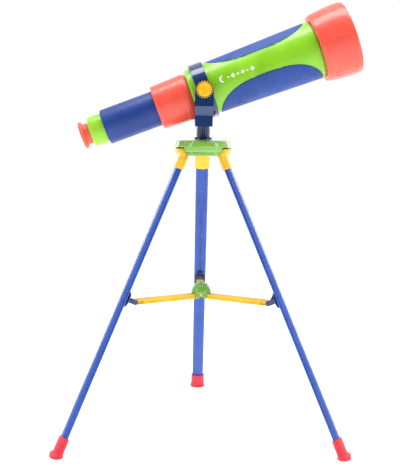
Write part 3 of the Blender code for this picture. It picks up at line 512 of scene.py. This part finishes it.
def bead_ring_tree():
    """A bead swept along a closed path and repeated round the Z axis."""
    tree = node_group("bead ring")
    inputs = {}
    for label, kind, value in (("Bead Radius", "NodeSocketFloat", 0.5), ("Count", "NodeSocketInt", 6),
                               ("Material", "NodeSocketMaterial", None)):
        socket = tree.interface.new_socket(label, in_out="INPUT", socket_type=kind)
        if value is not None:
            socket.default_value = value
        inputs[label] = socket
    made, link = tree.nodes.new, tree.links.new
    source, target = made("NodeGroupInput"), made("NodeGroupOutput")
    curve, sweep = made("GeometryNodeMeshToCurve"), made("GeometryNodeCurveToMesh")
    circle = made("GeometryNodeCurvePrimitiveCircle")
    circle.inputs["Resolution"].default_value = 8
    link(source.outputs["Geometry"], curve.inputs["Mesh"])
    link(source.outputs["Bead Radius"], circle.inputs["Radius"])
    link(curve.outputs["Curve"], sweep.inputs["Curve"])
    link(circle.outputs["Curve"], sweep.inputs["Profile Curve"])
    points, index = made("GeometryNodeMeshLine"), made("GeometryNodeInputIndex")
    scale = made("ShaderNodeMath")
    points.inputs["Offset"].default_value = (0, 0, 0)
    scale.operation = "MULTIPLY"
    full, angle = made("ShaderNodeMath"), made("ShaderNodeCombineXYZ")
    full.operation = "DIVIDE"
    full.inputs[0].default_value = 2 * math.pi
    link(source.outputs["Count"], points.inputs["Count"])
    link(source.outputs["Count"], full.inputs[1])
    link(index.outputs[0], scale.inputs[0])
    link(full.outputs[0], scale.inputs[1])
    link(scale.outputs[0], angle.inputs["Z"])
    spread, real = made("GeometryNodeInstanceOnPoints"), made("GeometryNodeRealizeInstances")
    dress = made("GeometryNodeSetMaterial")
    link(points.outputs["Mesh"], spread.inputs["Points"])
    link(sweep.outputs["Mesh"], spread.inputs["Instance"])
    link(angle.outputs["Vector"], spread.inputs["Rotation"])
    link(spread.outputs["Instances"], real.inputs["Geometry"])
    link(real.outputs["Geometry"], dress.inputs["Geometry"])
    link(source.outputs["Material"], dress.inputs["Material"])
    link(dress.outputs["Geometry"], target.inputs["Geometry"])
    return tree


material, *_ = plastic("coral_hood", CORAL, 0.3, coat=0.2)
path_mesh = bpy.data.meshes.new("slot path")
path_mesh.from_pydata(slot_path, [(i, (i + 1) % 64) for i in range(64)], [])
slot_beads = grow(path_mesh, bead_ring_tree(), {
    "Bead Radius": SLOT_BEAD, "Count": SLOT_COUNT, "Material": material})
hood_mesh = joined(lathe(soften(hood_profile), 128), slot_beads)
add_piece("hood_flare", hood_mesh, tube_frame, material, "focus_hood", ["hood"])

# ------------------------------------------------------------------ clamp ring
# Navy ring in two halves round the body. The lower half carries the two trunnion bosses that the knobs
# clamp, and a sunk screw on each side fixes it to the body.

NAVY = linear(8, 48, 104)
RING_BORE, RING_RADIUS, RING_HALF = 32.15, 35.0, 8.5
ring_profile = soften([
    (RING_BORE, -RING_HALF, 0.2), (RING_RADIUS, -RING_HALF, 0.7), (RING_RADIUS, RING_HALF, 0.7),
    (RING_BORE, RING_HALF, 0.2),
])


def post_mesh(radius, low, high, fillet, steps=40):
    """A round bar along Z with softened ends."""
    profile = soften([(0, low, 0), (radius, low, fillet), (radius, high, fillet), (0, high, 0)])
    rings = []
    for r, z in profile:
        rings.append([(max(r, 0.0001) * math.cos(2 * math.pi * i / steps),
                       max(r, 0.0001) * math.sin(2 * math.pi * i / steps), z) for i in range(steps)])
    return skin(rings)


def solid(mesh, name="solid"):
    """A scratch object holding a mesh, for a Boolean."""
    holder = bpy.data.objects.new(name, mesh)
    bpy.context.scene.collection.objects.link(holder)
    return holder


def carve(mesh, tools, operation="DIFFERENCE", bevel=0.0, bevel_segments=3, bevel_angle=35.0):
    """A mesh cut, trimmed or joined by others, then with its edges rounded."""
    work = solid(mesh)
    helpers = [solid(tool) for tool in tools]
    for helper in helpers:
        step = work.modifiers.new("carve", "BOOLEAN")
        step.operation = operation
        step.solver = "EXACT"
        step.object = helper
    if bevel:
        step = work.modifiers.new("round", "BEVEL")
        step.width = bevel
        step.segments = bevel_segments
        step.limit_method = "ANGLE"
        step.angle_limit = math.radians(bevel_angle)
        step.use_clamp_overlap = True
    depsgraph = bpy.context.evaluated_depsgraph_get()
    made = bpy.data.meshes.new_from_object(work.evaluated_get(depsgraph), depsgraph=depsgraph)
    for helper in [work] + helpers:
        bpy.data.objects.remove(helper, do_unlink=True)
    return made


RING_SCREW_ANGLE = 62.0
sink_places = []
for side in (-1, 1):
    turn = Matrix.Rotation(math.radians(side * (90 - RING_SCREW_ANGLE)), 4, "Z")
    sink_places.append(turn @ Matrix.Rotation(math.radians(90), 4, "Y"))
for half_name, start_angle in (("upper", 90.4), ("lower", -89.6)):
    half_mesh = lathe(ring_profile, 72, start_angle, 179.2)
    if half_name == "lower":
        sinks = [moved(post_mesh(2.9, 32.6, 37.0, 0.1, 24), place_matrix) for place_matrix in sink_places]
        half_mesh = carve(half_mesh, sinks)
        bosses = [moved(post_mesh(8.0, 33.0, 36.6, 0.3), Matrix.Rotation(math.radians(side * 90), 4, "X"))
                  for side in (-1, 1)]
        half_mesh = joined(half_mesh, *bosses)
    material, *_ = plastic(
        "navy_ring_" + half_name, NAVY, 0.16, coat=0.6, grain=0.004, ripple=0.012, scuff=0.1)
    add_piece("ring_" + half_name, half_mesh, tube_frame, material, "tube",
              ["clamp_ring_" + half_name])

# ------------------------------------------------------------------ yoke
# Navy fork that carries the tube between two arms. One glossy moulding: flat arms with round tops, a
# shoulder sloping in to the block that stands on the post.

ARM_OUTER, ARM_INNER, BASE_HALF, BASE_BOTTOM = 44.0, 38.0, 33.0, -43.5


def prism(outline, low, high):
    """A flat outline in XY made thick from low to high along Z."""
    return skin([[(x, y, low) for x, y in outline], [(x, y, high) for x, y in outline]])


half_outline = [(ARM_INNER, 14), (ARM_OUTER, 14), (ARM_OUTER, -19.5), (BASE_HALF, -30.5),
                (BASE_HALF, BASE_BOTTOM)]
saddle = []
for i in range(33):
    angle = math.radians(180 * i / 32)
    saddle.append((-ARM_INNER * math.cos(angle), -4 - 36.3 * math.sin(angle)))
yoke_outline = half_outline + [(-x, y) for x, y in reversed(half_outline)] + saddle
upright = Matrix.Rotation(math.radians(90), 4, "Z") @ Matrix.Rotation(math.radians(90), 4, "X")
yoke_mesh = moved(prism(yoke_outline, -14, 14), upright)
face_outline = [(10.5, BASE_BOTTOM - 1), (10.7, -30.5), (11.3, -19.5), (10.95, -3)]
for i in range(25):
    angle = math.radians(180 * i / 24)
    face_outline.append((10.8 * math.cos(angle), 10.8 * math.sin(angle)))
face_outline += [(-10.95, -3), (-11.3, -19.5), (-10.7, -30.5), (-10.5, BASE_BOTTOM - 1)]
facing = Matrix.Rotation(math.radians(90), 4, "X")
yoke_mesh = carve(yoke_mesh, [moved(prism(face_outline, -60, 60), facing)], "INTERSECT")
reliefs = []
for sign in (1, -1):
    wedge = [(sign * 7.0, -39.6), (sign * 16.0, -44.0), (sign * 16.0, -30.0), (sign * 7.0, -30.0)]
    reliefs.append(moved(prism(wedge, -14, 14), facing))
arm_bore = moved(post_mesh(2.8, -60, 60, 0.1, 24), facing)
yoke_mesh = carve(yoke_mesh, reliefs + [arm_bore], bevel=0.7)
material, *_ = plastic(
    "navy_yoke", NAVY, 0.14, coat=0.6, grain=0.004, ripple=0.012, scuff=0.1)
add_piece("fork", yoke_mesh, tilt_frame, material, "head", ["yoke"], sharp=32)

# ------------------------------------------------------------------ clamp knobs
# Yellow thumb knobs, scalloped round the rim, with a raised face disc; one on the outside of each arm. Amber
# painted shade darkens the grooves between the scallops and a ring round the face disc.

KNOB_YELLOW = linear(255, 200, 0)
KNOB_RADIUS, KNOB_DEPTH, SCALLOPS = 8.45, 8.6, 20
RIB_RADIUS, RIB_CIRCLE, KNOB_GAP = 0.86, 9.3, 0.3
# Amber painted shade for the grooves between the scallops and the ring round the face disc.
GROOVE_SHADE_AMBER = linear(214, 138, 0)


def rib_ring_tree():
    """Upright round ribs repeated round the Z axis."""
    tree = node_group("rib ring")
    for label, kind in (("Rib Radius", "NodeSocketFloat"), ("Rib Length", "NodeSocketFloat"),
                        ("Ring Radius", "NodeSocketFloat"), ("Middle", "NodeSocketFloat"),
                        ("Count", "NodeSocketInt"), ("Material", "NodeSocketMaterial")):
        tree.interface.new_socket(label, in_out="INPUT", socket_type=kind)
    made, link = tree.nodes.new, tree.links.new
    source, target = made("NodeGroupInput"), made("NodeGroupOutput")
    circle, rib = made("GeometryNodeMeshCircle"), made("GeometryNodeMeshCylinder")
    place_rib = made("GeometryNodeTransform")
    offset, spread = made("ShaderNodeCombineXYZ"), made("GeometryNodeInstanceOnPoints")
    real, together = made("GeometryNodeRealizeInstances"), made("GeometryNodeJoinGeometry")
    dress = made("GeometryNodeSetMaterial")
    rib.inputs["Vertices"].default_value = 16
    link(source.outputs["Count"], circle.inputs["Vertices"])
    link(source.outputs["Ring Radius"], circle.inputs["Radius"])
    link(source.outputs["Rib Radius"], rib.inputs["Radius"])
    link(source.outputs["Rib Length"], rib.inputs["Depth"])
    link(source.outputs["Middle"], offset.inputs["Z"])
    link(rib.outputs["Mesh"], place_rib.inputs["Geometry"])
    link(offset.outputs["Vector"], place_rib.inputs["Translation"])
    link(circle.outputs["Mesh"], spread.inputs["Points"])
    link(place_rib.outputs["Geometry"], spread.inputs["Instance"])
    link(spread.outputs["Instances"], real.inputs["Geometry"])
    link(real.outputs["Geometry"], together.inputs["Geometry"])
    link(source.outputs["Geometry"], together.inputs["Geometry"])
    link(together.outputs["Geometry"], dress.inputs["Geometry"])
    link(source.outputs["Material"], dress.inputs["Material"])
    link(dress.outputs["Geometry"], target.inputs["Geometry"])
    return tree


knob_tree = rib_ring_tree()
for side_name, side in (("near", -1), ("far", 1)):
    core_profile = soften([
        (2.7, 0.0, 0.2), (8.0, 0.0, 0.4), (KNOB_RADIUS, 1.2, 0.6), (KNOB_RADIUS, KNOB_DEPTH - 0.6, 0.6),
        (6.9, KNOB_DEPTH, 0.3), (6.5, KNOB_DEPTH + 1.4, 0.5), (4.6, KNOB_DEPTH + 1.3, 0.3),
        (4.2, KNOB_DEPTH + 0.8, 0.4), (0.02, KNOB_DEPTH + 0.8, 0.0), (0.02, 4.0, 0.0), (2.7, 4.0, 0.2),
    ])
    material, shader, start, place, tone = plastic("yellow_knob_" + side_name, KNOB_YELLOW, 0.34, coat=0.1)
    flat = start.node("ShaderNodeVectorMath", {"operation": "MULTIPLY"}, {0: place, 1: (1, 1, 0)})
    from_axis = start.node("ShaderNodeVectorMath", {"operation": "LENGTH"}, {0: flat}, "Value")
    # Painted shade: amber darkening in the grooves between the ribs and round the foot of the raised face
    # disc, not a colour of the plastic.
    face_ring_shade = from_axis.step(6.3, 6.5) * from_axis.step(7.3, 7.0)
    groove_shade = from_axis.step(9.1, 8.7) * from_axis.step(8.0, 8.35)
    start.blend(groove_shade + face_ring_shade * 0.6, tone, GROOVE_SHADE_AMBER).into(shader, "Base Color")
    knob_mesh = grow(lathe(core_profile, 80), knob_tree, {
        "Rib Radius": RIB_RADIUS, "Rib Length": KNOB_DEPTH - 1.6, "Ring Radius": RIB_CIRCLE,
        "Middle": KNOB_DEPTH / 2 + 0.3, "Count": SCALLOPS, "Material": material})
    outward = Matrix.Translation((0, side * (ARM_OUTER + KNOB_GAP), 0))
    outward = outward @ Matrix.Rotation(math.radians(-side * 90), 4, "X")
    add_piece("thumb_knob_" + side_name, knob_mesh, tilt_frame @ outward, material,
              side_name + "_knob", ["knob_" + side_name])

# ------------------------------------------------------------------ pan post
# Navy post with shallow upright flutes between the yoke and the hub. Its thin flange runs on the hub's top
# and its upper end stands a little way inside the yoke.

POST_TOP, FLUTES = 390.0, 16
post_rings = []
post_levels = [
    (372.7, 0.01, 0), (372.7, 11.1, 0), (373.0, 11.5, 0), (375.2, 11.5, 0), (375.8, 11.0, 0), (375.9, 8.8, 0),
    (376.6, 8.4, 0.45), (387.6, 8.3, 0.45), (388.4, 8.3, 0), (POST_TOP, 8.2, 0), (POST_TOP, 0.01, 0),
]
for z, radius, depth in post_levels:
    ring = []
    for i in range(FLUTES * 8):
        angle = 2 * math.pi * i / (FLUTES * 8)
        here = radius - depth * (0.5 + 0.5 * math.cos(angle * FLUTES)) ** 2
        ring.append((here * math.cos(angle), here * math.sin(angle), z))
    post_rings.append(ring)
material, *_ = plastic("navy_post", linear(24, 50, 100), 0.2, coat=0.4, grain=0.004)
add_piece("swivel_post", skin(post_rings), pan_frame, material, "head", ["pan_post"])

# ------------------------------------------------------------------ tripod hub
# Polished green puck in two halves that trap the leg hinge pins; three notches in its rim take the sockets.

HUB_GREEN = linear(130, 192, 70)
HINGE_RADIUS, HINGE_HEIGHT, HUB_SEAM = 25.5, 357.5, 357.5
azimuths = {"back": 90.0, "left": 210.0, "right": 330.0}
notch_tools = []
for azimuth in azimuths.values():
    notch = prism([(18.6, -10), (44, -10), (44, 10), (18.6, 10)], 340.0, 363.6)
    notch_tools.append(moved(notch, Matrix.Rotation(math.radians(azimuth), 4, "Z")))
hub_profiles = {
    "hub_top": [
        (7.8, 372.4, 0.2), (28.6, 372.4, 2.5), (33.2, 370.9, 2.8), (34.75, 365.6, 2.2), (34.0, 360.6, 1.2),
        (32.2, HUB_SEAM + 0.15, 0.3), (9.6, HUB_SEAM + 0.15, 0.1), (9.6, 360.2, 0.1), (7.8, 360.2, 0.1)],
    "hub_bottom": [
        (9.6, HUB_SEAM - 0.1, 0.1), (31.2, HUB_SEAM - 0.1, 0.3), (31.0, 353.4, 1.3), (9.6, 353.4, 0.3)],
}
for hub_name, profile in hub_profiles.items():
    tools = [tool.copy() for tool in notch_tools]
    hub_mesh = carve(lathe(soften(profile), 128), tools, bevel=0.35, bevel_segments=2, bevel_angle=50)
    material, *_ = plastic(
        "green_" + hub_name, HUB_GREEN, 0.1, coat=0.8, grain=0.002, ripple=0.01, scuff=0.08)
    add_piece(hub_name + "_moulding", hub_mesh, pan_frame, material, "hub", [hub_name])

# ------------------------------------------------------------------ legs, sockets and feet
# Each leg is an oval blue tube pressed into an amber hinge socket at the top and a coral rubber foot below.

FOOT_RADIUS = 197.0
lean = math.atan((FOOT_RADIUS - HINGE_RADIUS) / HINGE_HEIGHT)
SOCKET_END, LEG_TOP, LEG_END = -23.0, -7.0, -389.0
leg_reach = HINGE_HEIGHT / math.cos(lean)


def oval_ring(width, depth, z, count=48):
    """One level of an oval tube; width runs along Y and depth along X."""
    ring = []
    for i in range(count):
        angle = 2 * math.pi * i / count
        ring.append((depth / 2 * math.cos(angle), width / 2 * math.sin(angle), z))
    return ring


def oval_solid(levels):
    """A solid through oval levels of (width, depth, height), with both ends closed."""
    return skin([oval_ring(*level) for level in levels])


LEG_BLUE = linear(26, 78, 178)
AMBER = linear(255, 200, 36)
FOOT_CORAL = linear(236, 50, 72)
leg_places = {}
for leg_name, azimuth in azimuths.items():
    spoke = pan_frame @ Matrix.Rotation(math.radians(azimuth), 4, "Z")
    hinge = spoke @ Matrix.Translation((HINGE_RADIUS, 0, HINGE_HEIGHT)) @ Matrix.Rotation(-lean, 4, "Y")
    leg_places[leg_name] = (spoke, hinge)
    body = "leg_" + leg_name

    tube_mesh = oval_solid([
        (15.0, 6.0, LEG_TOP), (15.8, 6.8, LEG_TOP - 0.4), (16.0, 7.0, LEG_TOP - 1.2),
        (16.0, 7.0, LEG_END + 1.2), (15.8, 6.8, LEG_END + 0.4), (15.0, 6.0, LEG_END)])
    material, *_ = plastic(
        "blue_leg_" + leg_name, LEG_BLUE, 0.24, coat=0.3, grain=0.003, ripple=0.02, scuff=0.14)
    add_piece("leg_" + leg_name + "_tube", tube_mesh, hinge, material, body,
              ["leg_tube_" + leg_name])

    head_outline = soften([
        (-5.0, 1.0, 1.5), (-5.0, -2.4, 1.5), (-3.4, -4.2, 1.0), (5.2, -3.8, 2.0), (8.6, -1.9, 1.2),
        (10.6, -0.8, 1.2), (10.6, 3.4, 1.4), (9.6, 4.6, 0.8), (-4.2, 4.6, 3.0)], 4)
    head = prism(head_outline, -9.2, 9.2)
    head.transform(Matrix.Rotation(lean, 4, "Y") @ facing)
    sleeve = oval_solid([
        (18.2, 9.2, 2.0), (19.0, 10.0, 1.0), (19.2, 10.2, 0.0), (19.2, 10.2, SOCKET_END + 1.0),
        (19.0, 10.0, SOCKET_END + 0.3), (18.4, 9.4, SOCKET_END)])
    room = oval_solid([(16.4, 7.4, -8.0), (16.4, 7.4, SOCKET_END - 4)])
    socket_mesh = carve(sleeve, [head], "UNION")
    socket_mesh = carve(socket_mesh, [room], bevel=0.4, bevel_segments=2, bevel_angle=45)
    material, *_ = plastic("amber_socket_" + leg_name, AMBER, 0.28, coat=0.2)
    add_piece("socket_" + leg_name, socket_mesh, hinge, material, body,
              ["leg_socket_" + leg_name])

    sleeve = oval_solid([
        (17.8, 9.6, 24.5 - leg_reach), (18.7, 10.6, 24.1 - leg_reach), (18.9, 10.9, 23.2 - leg_reach),
        (19.1, 11.1, 9.0 - leg_reach), (19.3, 11.3, 2.0 - leg_reach)])
    sole = oval_solid([
        (20.4, 14.9, 0.05), (21.0, 15.5, 0.4), (21.3, 15.8, 1.1), (21.3, 15.8, 2.2), (20.9, 15.4, 2.9),
        (20.1, 14.6, 3.2), (20.1, 14.6, 3.5), (20.7, 15.2, 3.9), (20.7, 15.2, 4.6), (19.8, 14.3, 5.4),
        (17.5, 12.0, 5.8)])
    sole.transform(hinge.inverted() @ spoke @ Matrix.Translation((FOOT_RADIUS, 0, 0)))
    floor_cut = prism([(-40, -40), (40, -40), (40, 40), (-40, 40)], -30.0, 0.05)
    floor_cut.transform(hinge.inverted() @ spoke @ Matrix.Translation((FOOT_RADIUS, 0, 0)))
    room = oval_solid([(16.3, 7.3, 40.0 - leg_reach), (16.3, 7.3, LEG_END - 0.3)])
    foot_mesh = carve(sleeve, [floor_cut])
    foot_mesh = carve(foot_mesh, [sole], "UNION")
    foot_mesh = carve(foot_mesh, [room])
    material, *_ = plastic("coral_foot_" + leg_name, FOOT_CORAL, 0.42, grain=0.02)
    add_piece("shoe_" + leg_name, foot_mesh, hinge, material, body, ["foot_" + leg_name])

# ------------------------------------------------------------------ spreader
# Three amber channel arms between navy brackets on the legs and a green domed hub in the middle. Each arm's
# outer end is grooved on both sides for the studs inside its bracket's cheeks.

PIVOT_OUT, PIVOT_IN, SPREADER_HEIGHT = 96.0, 8.0, 177.0
ARM_HALF_DEPTH, ARM_HALF, ARM_WALL = 3.3, 4.8, 1.5
CHEEK_INNER, CHEEK_OUTER, CHEEK_RADIUS = 5.1, 6.3, 3.2
STUD_RADIUS, STUD_START, STUD_TRAVEL = 1.3, 3.7, 9.0
GROOVE_HALF_HEIGHT, GROOVE_DEPTH = 2.35, 1.3
PLATE_FACE, PLATE_LENGTH, PLATE_HALF, PLATE_HALF_DEPTH = -3.8, 20.0, 6.3, 0.9
PIN_HOLE, OVERRUN = 1.6, 9.0
NAVY_BRACKET = linear(20, 56, 120)
out, down = PIVOT_OUT - HINGE_RADIUS, HINGE_HEIGHT - SPREADER_HEIGHT
bracket_x = out * math.cos(lean) - down * math.sin(lean)
bracket_z = -out * math.sin(lean) - down * math.cos(lean)
arm_length = PIVOT_OUT - PIVOT_IN
channel_start, channel_end = CHEEK_RADIUS + 2.8, arm_length - STUD_TRAVEL - CHEEK_RADIUS - 3.8


def bar_outline(reach, radius, count=16):
    """A bar along X with a round end at the origin and at reach."""
    points = []
    for centre, first in ((reach, -90), (0.0, 90)):
        for i in range(count + 1):
            angle = math.radians(first + 180 * i / count)
            points.append((centre + radius * math.cos(angle), radius * math.sin(angle)))
    return points


def half_round(centre, radius, end, count=16):
    """A bar along X with a round end about the centre and a flat end."""
    points = [(end, radius)]
    for i in range(count + 1):
        angle = math.pi * (0.5 + i / count)
        points.append((centre + radius * math.cos(angle), radius * math.sin(angle)))
    return points + [(end, -radius)]


def block(low_x, high_x, low_y, high_y, half):
    return prism([(low_x, low_y), (high_x, low_y), (high_x, high_y), (low_x, high_y)], -half, half)


for leg_name, (spoke, hinge) in leg_places.items():
    pivot = Matrix.Translation((bracket_x, 0, bracket_z))
    lug_reach = PLATE_FACE - bracket_x - 1.0
    lug_outline = bar_outline(lug_reach - CHEEK_RADIUS, CHEEK_RADIUS)
    cheeks = moved(prism(lug_outline, -CHEEK_OUTER, CHEEK_OUTER), pivot @ facing)
    straight = PLATE_LENGTH - 2 * PLATE_HALF
    base_outline = [(x - straight / 2, y) for x, y in bar_outline(straight, PLATE_HALF)]
    base = prism(base_outline, -PLATE_HALF_DEPTH, PLATE_HALF_DEPTH)
    base.transform(Matrix.Rotation(math.radians(90), 4, "Y"))
    base.transform(Matrix.Translation((PLATE_FACE - PLATE_HALF_DEPTH, 0, bracket_z)))
    studs = []
    for low, high in ((STUD_START, OVERRUN), (-OVERRUN, -STUD_START)):
        studs.append(post_mesh(STUD_RADIUS, low, high, 0.05, 20))
    gap = carve(block(-OVERRUN, lug_reach - 0.8, -OVERRUN, OVERRUN, CHEEK_INNER), studs)
    gap.transform(pivot @ facing)
    bracket_mesh = carve(cheeks, [base], "UNION")
    bracket_mesh = carve(bracket_mesh, [gap], bevel=0.3, bevel_segments=2, bevel_angle=45)
    material, *_ = plastic("navy_bracket_" + leg_name, NAVY_BRACKET, 0.25, coat=0.3)
    add_piece("strut_bracket_" + leg_name, bracket_mesh, hinge, material, "leg_" + leg_name,
              ["bracket_" + leg_name])

    arm_mesh = moved(prism(half_round(0.0, ARM_HALF_DEPTH, arm_length), -ARM_HALF, ARM_HALF), facing)
    channel = block(channel_start, channel_end, -OVERRUN, ARM_HALF_DEPTH - ARM_WALL, ARM_HALF - ARM_WALL)
    tools = [moved(channel, facing), moved(post_mesh(PIN_HOLE, -OVERRUN, OVERRUN, 0.05, 20), facing)]
    groove = half_round(arm_length - STUD_TRAVEL, GROOVE_HALF_HEIGHT, arm_length + OVERRUN, 8)
    for side in (-1, 1):
        on_side = Matrix.Translation((0, side * ARM_HALF, 0)) @ facing
        tools.append(moved(prism(groove, -GROOVE_DEPTH, GROOVE_DEPTH), on_side))
        tools.append(moved(block(8, channel_end - 2, -0.45, 0.45, 0.25), on_side))
    arm_mesh = carve(arm_mesh, tools, bevel=0.3, bevel_segments=2, bevel_angle=45)
    material, *_ = plastic("amber_arm_" + leg_name, AMBER, 0.3, coat=0.15)
    arm_place = spoke @ Matrix.Translation((PIVOT_IN, 0, SPREADER_HEIGHT))
    add_piece("strut_" + leg_name, arm_mesh, arm_place, material, "arm_" + leg_name,
              ["spreader_arm_" + leg_name])

DOME_BASE = SPREADER_HEIGHT + ARM_HALF_DEPTH + 0.5
dome_profile = [(0.01, DOME_BASE + 13.2)]
for i in range(1, 13):
    angle = math.radians(90 - 90 * i / 12)
    dome_profile.append((13.0 * math.cos(angle), DOME_BASE + 1.6 + 11.6 * math.sin(angle)))
dome_profile += [(13.0, DOME_BASE + 0.4), (12.6, DOME_BASE), (0.01, DOME_BASE)]
dome_mesh = lathe(dome_profile, 64)
dome_lugs = []
cheek_outline = [(CHEEK_RADIUS, 5.8), (-CHEEK_RADIUS, 5.8)]
for i in range(17):
    angle = math.pi * (1 + i / 16)
    cheek_outline.append((CHEEK_RADIUS * math.cos(angle), CHEEK_RADIUS * math.sin(angle)))
for azimuth in azimuths.values():
    lug_pair = prism(cheek_outline, -CHEEK_OUTER, CHEEK_OUTER)
    gap = block(-5, 5, -5, 4.2, CHEEK_INNER)
    eye = post_mesh(PIN_HOLE, -10, 10, 0.05, 20)
    lug_pair = carve(lug_pair, [gap, eye], bevel=0.3, bevel_segments=2, bevel_angle=45)
    turn = Matrix.Rotation(math.radians(azimuth), 4, "Z")
    dome_lugs.append(moved(lug_pair, turn @ Matrix.Translation((PIVOT_IN, 0, SPREADER_HEIGHT)) @ facing))
material, *_ = plastic(
    "green_dome", HUB_GREEN, 0.12, coat=0.7, grain=0.002, ripple=0.01)
add_piece("spreader_dome", joined(dome_mesh, *dome_lugs), pan_frame, material, "spreader",
          ["spreader_hub"])

# ------------------------------------------------------------------ lenses and inner fittings
# Ground glass lenses, matte black inner mouldings, and plain steel pins and screws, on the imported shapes.


def glass(name):
    """Coated glass with faint wiping marks."""
    material = bpy.data.materials.new(name)
    material.use_nodes = True
    shader = material.node_tree.nodes["Principled BSDF"]
    start = Signal(material.node_tree)
    metres = start.node("ShaderNodeTexCoord", output="Object")
    smear = start.noise(metres, 60.0, 3.0, 0.6, (1.0, 3.0, 1.0))
    (0.02 + smear.step(0.5, 0.75) * 0.05).into(shader, "Roughness")
    clouds = start.noise(metres, 25.0).step(0.35, 0.65)
    tint = start.blend(clouds, linear(206, 222, 240), linear(224, 214, 240))
    tint.into(shader, "Base Color")
    shader.inputs["Transmission Weight"].default_value = 1.0
    shader.inputs["IOR"].default_value = 1.5
    return material


def paint_node(node, material):
    """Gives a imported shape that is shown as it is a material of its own."""
    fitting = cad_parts[node]
    fitting.data.materials.clear()
    fitting.data.materials.append(material)


for node in ("objective_lens", "eye_lens", "field_lens"):
    paint_node(node, glass(node + "_glass"))

black_nodes = ["lens_spacer", "eyepiece_snap_ring", "draw_tube_stop", "baffle_disc", "lens_cell",
               "lens_retaining_ring", "friction_washer_near", "friction_washer_far"]
for node in black_nodes:
    material, *_ = plastic(
        node + "_black", linear(26, 26, 30), 0.6, grain=0.03, source="object")
    paint_node(node, material)

steel_nodes = ["knob_screw_near", "knob_screw_far", "ring_screw_near", "ring_screw_far", "pan_screw"]
steel_nodes += [kind + "_pin_" + leg_name for kind in ("hinge", "inner") for leg_name in azimuths]
for node in steel_nodes:
    material, shader, *_ = plastic(
        node + "_steel", linear(176, 178, 184), 0.28, grain=0.004, source="object", drift=0.1)
    shader.inputs["Metallic"].default_value = 1.0
    paint_node(node, material)

# ------------------------------------------------------------------ table top and light
# A plain white sweep under soft studio light: bright paper behind and overhead, a dimmer room in front, and
# four upright softboxes whose long reflections draw the legs, the post and the rim of the hub.

floor_mesh = bpy.data.meshes.new("table_top")
floor_mesh.from_pydata([(-8, -5, 0), (8, -5, 0), (8, 12, 0), (-8, 12, 0)], [], [(0, 1, 2, 3)])
table_top = bpy.data.objects.new("table_top", floor_mesh)
bpy.context.scene.collection.objects.link(table_top)
paper = bpy.data.materials.new("white_paper")
paper.use_nodes = True
paper_start = Signal(paper.node_tree)
paper_shader = paper.node_tree.nodes["Principled BSDF"]
paper_place = paper_start.node("ShaderNodeTexCoord", output="Object")
paper_tone = paper_start.blend(paper_start.noise(paper_place, 6.0), (0.93, 0.93, 0.93), (0.96, 0.96, 0.96))
paper_tone.into(paper_shader, "Base Color")
paper_shader.inputs["Roughness"].default_value = 0.9
paper_shader.inputs["Emission Color"].default_value = (1, 1, 1, 1)
paper_shader.inputs["Emission Strength"].default_value = 0.42
floor_mesh.materials.append(paper)

surroundings = bpy.data.worlds.new("studio")
surroundings.use_nodes = True
sky = Signal(surroundings.node_tree)
sky_shader = surroundings.node_tree.nodes["Background"]
sky_ray = sky.node("ShaderNodeTexCoord", output="Generated")
sky_depth = sky.node("ShaderNodeSeparateXYZ", None, {"Vector": sky_ray}, "Y")
ROOM_LIGHT, PAPER_LIGHT = 0.14, 1.02
sky_light = ROOM_LIGHT + (PAPER_LIGHT - ROOM_LIGHT) * sky_depth.step(-0.75, 0.35)
seen = sky.node("ShaderNodeLightPath", output="Is Camera Ray")
(sky_light * (1 - seen) + seen * PAPER_LIGHT).into(sky_shader, "Strength")
sky_shader.inputs["Color"].default_value = (1, 1, 1, 1)
bpy.context.scene.world = surroundings
bpy.context.scene.view_settings.view_transform = "Standard"


def softbox(name, power, size, location, aim):
    """A rectangular lamp pointed at a spot."""
    lamp = bpy.data.lights.new(name, "AREA")
    lamp.energy = power
    lamp.shape = "RECTANGLE"
    lamp.size, lamp.size_y = size
    holder = bpy.data.objects.new(name, lamp)
    holder.location = location
    holder.rotation_euler = (Vector(aim) - Vector(location)).to_track_quat("-Z", "Y").to_euler()
    holder.visible_camera = False
    bpy.context.scene.collection.objects.link(holder)


softbox("overhead", 11.5, (1.2, 0.45), (0.0, -0.1, 1.35), (0, 0, 0.35))
softbox("front_left", 4.0, (0.35, 1.3), (-1.2, -0.9, 0.75), (0, 0, 0.35))
softbox("front_right", 5.0, (0.35, 1.3), (1.25, -0.75, 0.75), (0, 0, 0.35))
softbox("behind_left", 5.0, (0.3, 1.1), (-1.04, 1.0, 0.6), (0, 0, 0.35))
softbox("behind_right", 5.0, (0.3, 1.1), (1.04, 1.0, 0.6), (0, 0, 0.35))

# ------------------------------------------------------------------ camera
# A long lens a little over a metre away, looking slightly down, with the horizon a touch off level.

camera_data = bpy.data.cameras.new("camera")
camera_data.lens = 68.2
camera = bpy.data.objects.new("camera", camera_data)
camera.location = ((PAN_X - 21.9) / 1000, (PAN_Y - 1122.7) / 1000, 0.3905)
yaw = Matrix.Rotation(math.radians(-1.0), 3, "Z")
pitch = Matrix.Rotation(math.radians(90 - 7.11), 3, "X")
roll = Matrix.Rotation(math.radians(0.72), 3, "Z")
camera.rotation_euler = (yaw @ pitch @ roll).to_euler()
bpy.context.scene.collection.objects.link(camera)
bpy.context.scene.camera = camera
